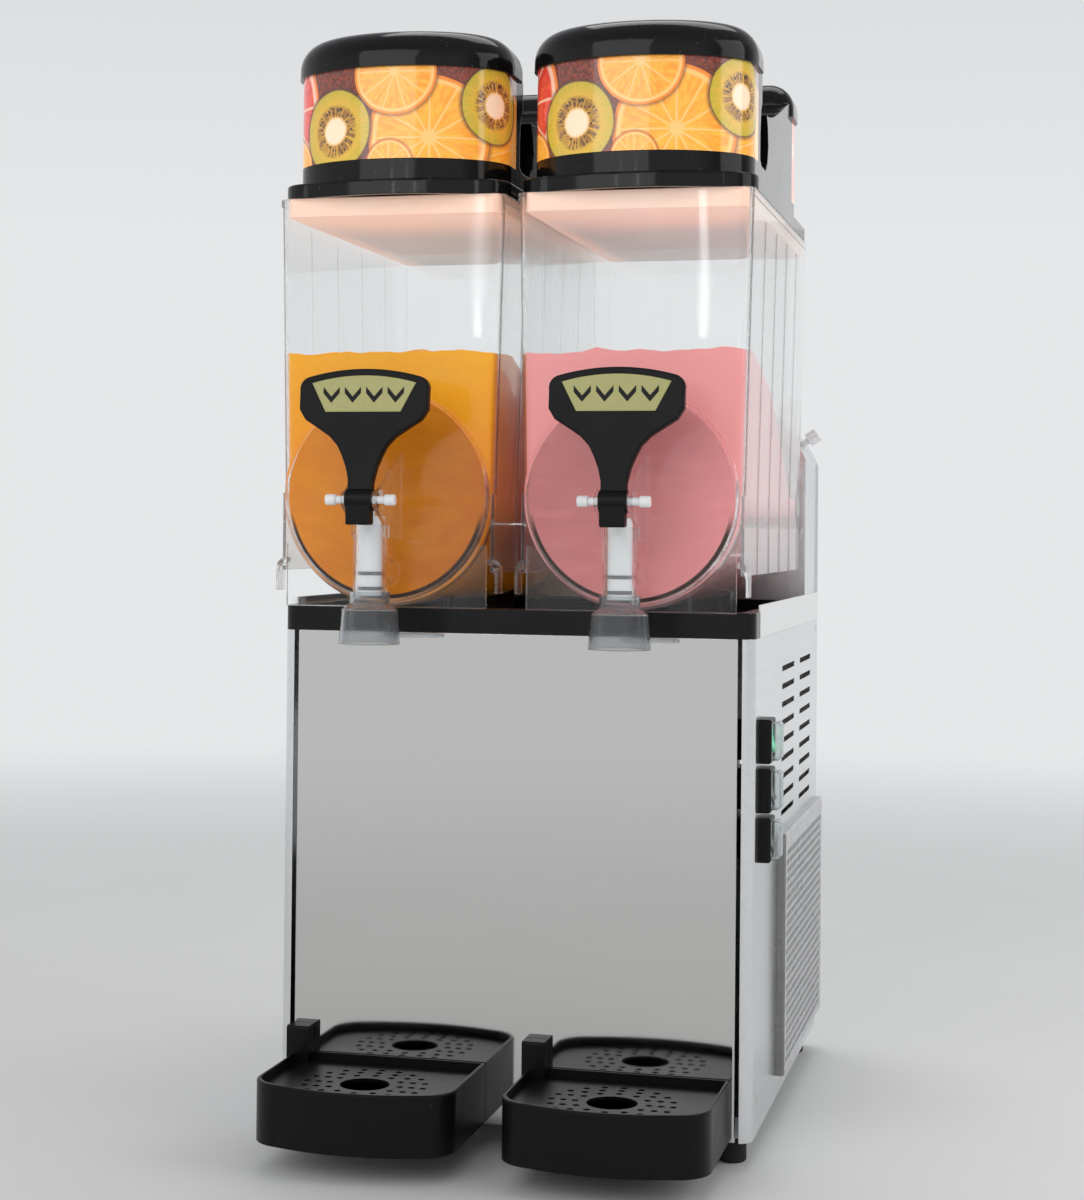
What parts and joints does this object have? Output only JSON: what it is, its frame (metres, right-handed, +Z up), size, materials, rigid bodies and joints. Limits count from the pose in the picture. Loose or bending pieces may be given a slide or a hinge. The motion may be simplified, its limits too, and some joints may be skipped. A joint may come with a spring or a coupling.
{
  "type": "slush machine",
  "caption": "Frozen drink machine: clear tanks side by side with black lit lids and pull taps, on a stainless cabinet with drip trays and side switches.",
  "frame": {"origin": "centre of the overall bounding box, on the floor", "axes": "+X to the viewer's right along the front, +Y from the front to the back, +Z up; the taps and trays face -Y"},
  "size_m": [0.396, 0.563, 0.878],
  "materials": {
    "steel_front": "satin stainless sheet",
    "steel_side": "brushed stainless sheet",
    "steel_trim": "polished stainless strip",
    "steel_screen": "perforated stainless",
    "galvanised": "galvanised sheet",
    "black_deck": "moulded black",
    "black_lid": "polished black",
    "lid_picture": "backlit film with a fruit pattern",
    "lid_white": "translucent white",
    "clear_bowl": "clear polycarbonate",
    "clear_spout": "clear plastic",
    "clear_boot": "soft clear silicone",
    "black_lever": "fine matt black",
    "gold_inlay": "matt gold foil",
    "white_acetal": "smooth white",
    "rubber_grey": "silicone ring",
    "rubber_black": "moulded rubber",
    "rubber_white": "food grade seal",
    "spring_steel": "bright wire",
    "evaporator_steel": "brushed stainless drum",
    "shaft_steel": "ground steel",
    "auger_white": "moulded white",
    "motor_paint": "dark enamel",
    "tray_black": "fine textured black",
    "condenser_metal": "fins on copper tube",
    "copper": "drawn copper",
    "fan_black": "moulded black",
    "compressor_black": "black enamel",
    "switch_black": "fine matt black",
    "rocker_green": "lit green",
    "slush_orange": "ice slush, orange",
    "slush_pink": "ice slush, pink",
    "inlet_black": "moulded socket"
  },
  "bodies": {
    "cabinet": {"base_pan": "galvanised", "feet": "rubber_black", "front_panel": "steel_front", "side_panel_left": "steel_side", "side_panel_right": "steel_side", "back_panel": "steel_side", "top_deck": "black_deck", "side_rims": "steel_trim", "rear_housing": "steel_side", "housing_cover": "steel_side", "compressor": "compressor_black", "condenser": "condenser_metal", "fan_shroud": "galvanised", "fan_motor": "motor_paint", "refrigerant_pipes": "copper", "switch_bodies": "switch_black", "switch_boots": "clear_boot", "evaporators": "evaporator_steel", "bowl_gaskets": "rubber_white", "panel_screws": "shaft_steel", "power_inlet": "inlet_black", "gearmotor_left": "motor_paint", "gearmotor_right": "motor_paint"},
    "bowl_left": {"bowl_left": "clear_bowl", "tap_spout_left": "clear_spout", "tap_pin_left": "white_acetal", "tap_spring_left": "spring_steel"},
    "lid_left": {"lid_shell_left": "black_lid", "lid_print_left": "lid_picture", "lid_diffuser_left": "lid_white"},
    "lever_left": {"tap_lever_left": "black_lever", "lever_plate_left": "gold_inlay"},
    "piston_left": {"tap_piston_left": "white_acetal", "piston_rings_left": "rubber_grey"},
    "auger_left": {"auger_left": "auger_white", "auger_shaft_left": "shaft_steel"},
    "tray_left": {"drip_tray_left": "tray_black"},
    "grid_left": {"drip_grid_left": "tray_black"},
    "knob_left": {"density_knob_left": "white_acetal"},
    "bowl_right": {"bowl_right": "clear_bowl", "tap_spout_right": "clear_spout", "tap_pin_right": "white_acetal", "tap_spring_right": "spring_steel"},
    "lid_right": {"lid_shell_right": "black_lid", "lid_print_right": "lid_picture", "lid_diffuser_right": "lid_white"},
    "lever_right": {"tap_lever_right": "black_lever", "lever_plate_right": "gold_inlay"},
    "piston_right": {"tap_piston_right": "white_acetal", "piston_rings_right": "rubber_grey"},
    "auger_right": {"auger_right": "auger_white", "auger_shaft_right": "shaft_steel"},
    "tray_right": {"drip_tray_right": "tray_black"},
    "grid_right": {"drip_grid_right": "tray_black"},
    "knob_right": {"density_knob_right": "white_acetal"},
    "screen": {"filter_screen": "steel_screen"},
    "fan": {"fan_blade": "fan_black"},
    "rocker_1": {"rocker_1": "rocker_green"},
    "rocker_2": {"rocker_2": "switch_black"},
    "rocker_3": {"rocker_3": "switch_black"}
  },
  "joints": [
    {"name": "bowl_slide_left", "type": "slide", "parent": "cabinet", "child": "bowl_left", "axis": [0, -1, 0], "range_m": [0, 0.38]},
    {"name": "lid_lift_left", "type": "slide", "parent": "bowl_left", "child": "lid_left", "axis": [0, 0, 1], "range_m": [0, 0.16]},
    {"name": "lever_hinge_left", "type": "hinge", "parent": "bowl_left", "child": "lever_left", "pos_m": [-0.10552, -0.2465, 0.507], "axis": [1, 0, 0], "range_deg": [0, 35], "stiffness_Nm_per_rad": 0.6, "springref_deg": -14.32},
    {"name": "piston_slide_left", "type": "slide", "parent": "bowl_left", "child": "piston_left", "axis": [0, 0, 1], "range_m": [0, 0.016]},
    {"name": "auger_spin_left", "type": "hinge", "parent": "cabinet", "child": "auger_left", "pos_m": [-0.10552, -0.1565, 0.511], "axis": [0, 1, 0], "continuous": true},
    {"name": "tray_slide_left", "type": "slide", "parent": "cabinet", "child": "tray_left", "axis": [0, -1, 0], "range_m": [0, 0.15]},
    {"name": "grid_lift_left", "type": "slide", "parent": "tray_left", "child": "grid_left", "axis": [0, 0, 1], "range_m": [0, 0.06]},
    {"name": "knob_turn_left", "type": "hinge", "parent": "cabinet", "child": "knob_left", "pos_m": [-0.02361, 0.2485, 0.56836], "axis": [0.8192, 0, 0.5736], "range_deg": [-150, 150]},
    {"name": "bowl_slide_right", "type": "slide", "parent": "cabinet", "child": "bowl_right", "axis": [0, -1, 0], "range_m": [0, 0.38]},
    {"name": "lid_lift_right", "type": "slide", "parent": "bowl_right", "child": "lid_right", "axis": [0, 0, 1], "range_m": [0, 0.16]},
    {"name": "lever_hinge_right", "type": "hinge", "parent": "bowl_right", "child": "lever_right", "pos_m": [0.08947, -0.2465, 0.507], "axis": [1, 0, 0], "range_deg": [0, 35], "stiffness_Nm_per_rad": 0.6, "springref_deg": -14.32},
    {"name": "piston_slide_right", "type": "slide", "parent": "bowl_right", "child": "piston_right", "axis": [0, 0, 1], "range_m": [0, 0.016]},
    {"name": "auger_spin_right", "type": "hinge", "parent": "cabinet", "child": "auger_right", "pos_m": [0.08947, -0.1565, 0.511], "axis": [0, 1, 0], "continuous": true},
    {"name": "tray_slide_right", "type": "slide", "parent": "cabinet", "child": "tray_right", "axis": [0, -1, 0], "range_m": [0, 0.15]},
    {"name": "grid_lift_right", "type": "slide", "parent": "tray_right", "child": "grid_right", "axis": [0, 0, 1], "range_m": [0, 0.06]},
    {"name": "knob_turn_right", "type": "hinge", "parent": "cabinet", "child": "knob_right", "pos_m": [0.17139, 0.2485, 0.56836], "axis": [0.8192, 0, 0.5736], "range_deg": [-150, 150]},
    {"name": "screen_pull", "type": "slide", "parent": "cabinet", "child": "screen", "axis": [1, 0, 0], "range_m": [0, 0.1]},
    {"name": "fan_spin", "type": "hinge", "parent": "cabinet", "child": "fan", "pos_m": [0.10798, 0.1315, 0.136], "axis": [1, 0, 0], "continuous": true},
    {"name": "rocker_tilt_1", "type": "hinge", "parent": "cabinet", "child": "rocker_1", "pos_m": [0.18197, -0.1095, 0.323], "axis": [0, 1, 0], "range_deg": [0, 20]},
    {"name": "rocker_tilt_2", "type": "hinge", "parent": "cabinet", "child": "rocker_2", "pos_m": [0.18197, -0.1095, 0.2848], "axis": [0, 1, 0], "range_deg": [0, 20]},
    {"name": "rocker_tilt_3", "type": "hinge", "parent": "cabinet", "child": "rocker_3", "pos_m": [0.18197, -0.1095, 0.2465], "axis": [0, 1, 0], "range_deg": [0, 20]}
  ],
  "couplings": [
    {"joint": "piston_slide_left", "follows": "lever_hinge_left", "m_per_rad": 0.0255},
    {"joint": "piston_slide_right", "follows": "lever_hinge_right", "m_per_rad": 0.0255}
  ]
}
